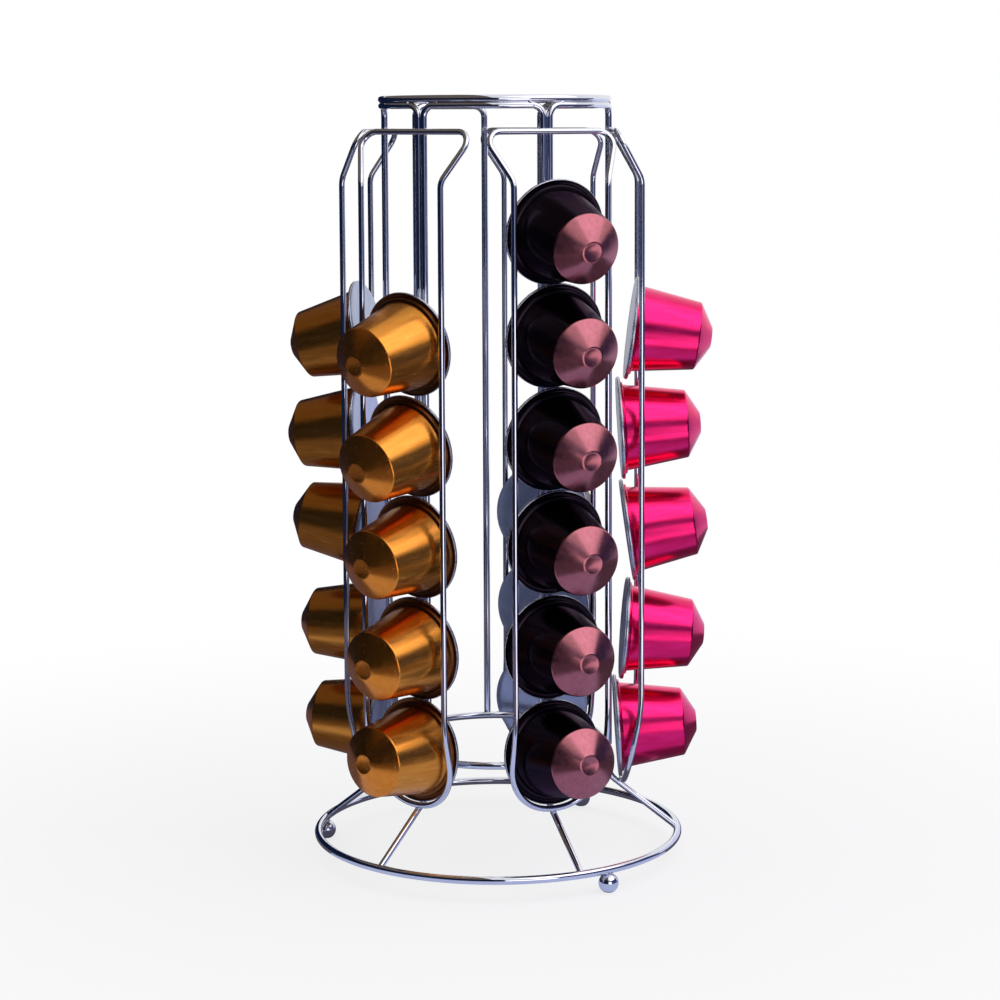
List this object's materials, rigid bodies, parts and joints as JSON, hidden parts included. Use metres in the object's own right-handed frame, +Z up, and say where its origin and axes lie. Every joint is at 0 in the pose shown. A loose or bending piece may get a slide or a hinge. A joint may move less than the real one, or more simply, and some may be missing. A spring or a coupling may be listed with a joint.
{
  "type": "coffee capsule dispenser",
  "caption": "Tower of chromed wire with open columns round a round base ring; each column holds single-serve coffee capsules on edge, noses outward.",
  "frame": {"origin": "on the stand's upright axis, at the level of the surface it stands on", "axes": "+Z up along the stand's axis, -Y towards the camera of the picture, +X to the right in the picture"},
  "size_m": [0.1538, 0.1381, 0.2743],
  "materials": {
    "chromed_wire": "mirror-bright chrome plating on bent and welded round wire",
    "gold_capsule": "brushed orange-gold aluminium with a grey-blue foil lid",
    "dark_capsule": "glossy near-black aluminium with a copper nose and a grey-blue foil lid",
    "red_capsule": "satin magenta-red aluminium with a grey-blue foil lid"
  },
  "bodies": {
    "stand": {"top_ring": "chromed_wire", "lower_ring": "chromed_wire", "base_ring": "chromed_wire", "ball_foot_1": "chromed_wire", "ball_foot_2": "chromed_wire", "ball_foot_3": "chromed_wire", "back_guide_1": "chromed_wire", "back_guide_2": "chromed_wire", "back_guide_3": "chromed_wire", "back_guide_4": "chromed_wire", "back_guide_5": "chromed_wire", "left_front_loop": "chromed_wire", "front_left_front_loop": "chromed_wire", "front_right_front_loop": "chromed_wire", "right_front_loop": "chromed_wire", "rear_front_loop": "chromed_wire", "left_base_spoke": "chromed_wire", "front_left_base_spoke": "chromed_wire", "front_right_base_spoke": "chromed_wire", "right_base_spoke": "chromed_wire", "rear_base_spoke": "chromed_wire"},
    "left_capsule_1": {"left_capsule_1": "gold_capsule"},
    "left_capsule_2": {"left_capsule_2": "gold_capsule"},
    "left_capsule_3": {"left_capsule_3": "gold_capsule"},
    "left_capsule_4": {"left_capsule_4": "gold_capsule"},
    "left_capsule_5": {"left_capsule_5": "gold_capsule"},
    "front_left_capsule_1": {"front_left_capsule_1": "gold_capsule"},
    "front_left_capsule_2": {"front_left_capsule_2": "gold_capsule"},
    "front_left_capsule_3": {"front_left_capsule_3": "gold_capsule"},
    "front_left_capsule_4": {"front_left_capsule_4": "gold_capsule"},
    "front_left_capsule_5": {"front_left_capsule_5": "gold_capsule"},
    "front_right_capsule_1": {"front_right_capsule_1": "dark_capsule"},
    "front_right_capsule_2": {"front_right_capsule_2": "dark_capsule"},
    "front_right_capsule_3": {"front_right_capsule_3": "dark_capsule"},
    "front_right_capsule_4": {"front_right_capsule_4": "dark_capsule"},
    "front_right_capsule_5": {"front_right_capsule_5": "dark_capsule"},
    "front_right_capsule_6": {"front_right_capsule_6": "dark_capsule"},
    "right_capsule_1": {"right_capsule_1": "red_capsule"},
    "right_capsule_2": {"right_capsule_2": "red_capsule"},
    "right_capsule_3": {"right_capsule_3": "red_capsule"},
    "right_capsule_4": {"right_capsule_4": "red_capsule"},
    "right_capsule_5": {"right_capsule_5": "red_capsule"},
    "rear_capsule_1": {"rear_capsule_1": "dark_capsule"},
    "rear_capsule_2": {"rear_capsule_2": "dark_capsule"},
    "rear_capsule_3": {"rear_capsule_3": "dark_capsule"}
  },
  "joints": [
    {"name": "left_capsule_1_lift", "type": "slide", "parent": "stand", "child": "left_capsule_1", "axis": [0, 0, 1], "range_m": [0, 0.0105]},
    {"name": "left_capsule_2_lift", "type": "slide", "parent": "left_capsule_1", "child": "left_capsule_2", "axis": [0, 0, 1], "range_m": [0, 0.0105]},
    {"name": "left_capsule_3_lift", "type": "slide", "parent": "left_capsule_2", "child": "left_capsule_3", "axis": [0, 0, 1], "range_m": [0, 0.0105]},
    {"name": "left_capsule_4_lift", "type": "slide", "parent": "left_capsule_3", "child": "left_capsule_4", "axis": [0, 0, 1], "range_m": [0, 0.0105]},
    {"name": "left_capsule_5_lift", "type": "slide", "parent": "left_capsule_4", "child": "left_capsule_5", "axis": [0, 0, 1], "range_m": [0, 0.0105]},
    {"name": "front_left_capsule_1_lift", "type": "slide", "parent": "stand", "child": "front_left_capsule_1", "axis": [0, 0, 1], "range_m": [0, 0.011]},
    {"name": "front_left_capsule_2_lift", "type": "slide", "parent": "front_left_capsule_1", "child": "front_left_capsule_2", "axis": [0, 0, 1], "range_m": [0, 0.011]},
    {"name": "front_left_capsule_3_lift", "type": "slide", "parent": "front_left_capsule_2", "child": "front_left_capsule_3", "axis": [0, 0, 1], "range_m": [0, 0.011]},
    {"name": "front_left_capsule_4_lift", "type": "slide", "parent": "front_left_capsule_3", "child": "front_left_capsule_4", "axis": [0, 0, 1], "range_m": [0, 0.011]},
    {"name": "front_left_capsule_5_lift", "type": "slide", "parent": "front_left_capsule_4", "child": "front_left_capsule_5", "axis": [0, 0, 1], "range_m": [0, 0.011]},
    {"name": "front_right_capsule_1_lift", "type": "slide", "parent": "stand", "child": "front_right_capsule_1", "axis": [0, 0, 1], "range_m": [0, 0.0032]},
    {"name": "front_right_capsule_2_lift", "type": "slide", "parent": "front_right_capsule_1", "child": "front_right_capsule_2", "axis": [0, 0, 1], "range_m": [0, 0.0032]},
    {"name": "front_right_capsule_3_lift", "type": "slide", "parent": "front_right_capsule_2", "child": "front_right_capsule_3", "axis": [0, 0, 1], "range_m": [0, 0.0032]},
    {"name": "front_right_capsule_4_lift", "type": "slide", "parent": "front_right_capsule_3", "child": "front_right_capsule_4", "axis": [0, 0, 1], "range_m": [0, 0.0032]},
    {"name": "front_right_capsule_5_lift", "type": "slide", "parent": "front_right_capsule_4", "child": "front_right_capsule_5", "axis": [0, 0, 1], "range_m": [0, 0.0032]},
    {"name": "front_right_capsule_6_lift", "type": "slide", "parent": "front_right_capsule_5", "child": "front_right_capsule_6", "axis": [0, 0, 1], "range_m": [0, 0.0032]},
    {"name": "right_capsule_1_lift", "type": "slide", "parent": "stand", "child": "right_capsule_1", "axis": [0, 0, 1], "range_m": [0, 0.0091]},
    {"name": "right_capsule_2_lift", "type": "slide", "parent": "right_capsule_1", "child": "right_capsule_2", "axis": [0, 0, 1], "range_m": [0, 0.0091]},
    {"name": "right_capsule_3_lift", "type": "slide", "parent": "right_capsule_2", "child": "right_capsule_3", "axis": [0, 0, 1], "range_m": [0, 0.0091]},
    {"name": "right_capsule_4_lift", "type": "slide", "parent": "right_capsule_3", "child": "right_capsule_4", "axis": [0, 0, 1], "range_m": [0, 0.0091]},
    {"name": "right_capsule_5_lift", "type": "slide", "parent": "right_capsule_4", "child": "right_capsule_5", "axis": [0, 0, 1], "range_m": [0, 0.0091]},
    {"name": "rear_capsule_1_lift", "type": "slide", "parent": "stand", "child": "rear_capsule_1", "axis": [0, 0, 1], "range_m": [0, 0.0428]},
    {"name": "rear_capsule_2_lift", "type": "slide", "parent": "rear_capsule_1", "child": "rear_capsule_2", "axis": [0, 0, 1], "range_m": [0, 0.0428]},
    {"name": "rear_capsule_3_lift", "type": "slide", "parent": "rear_capsule_2", "child": "rear_capsule_3", "axis": [0, 0, 1], "range_m": [0, 0.0428]}
  ]
}
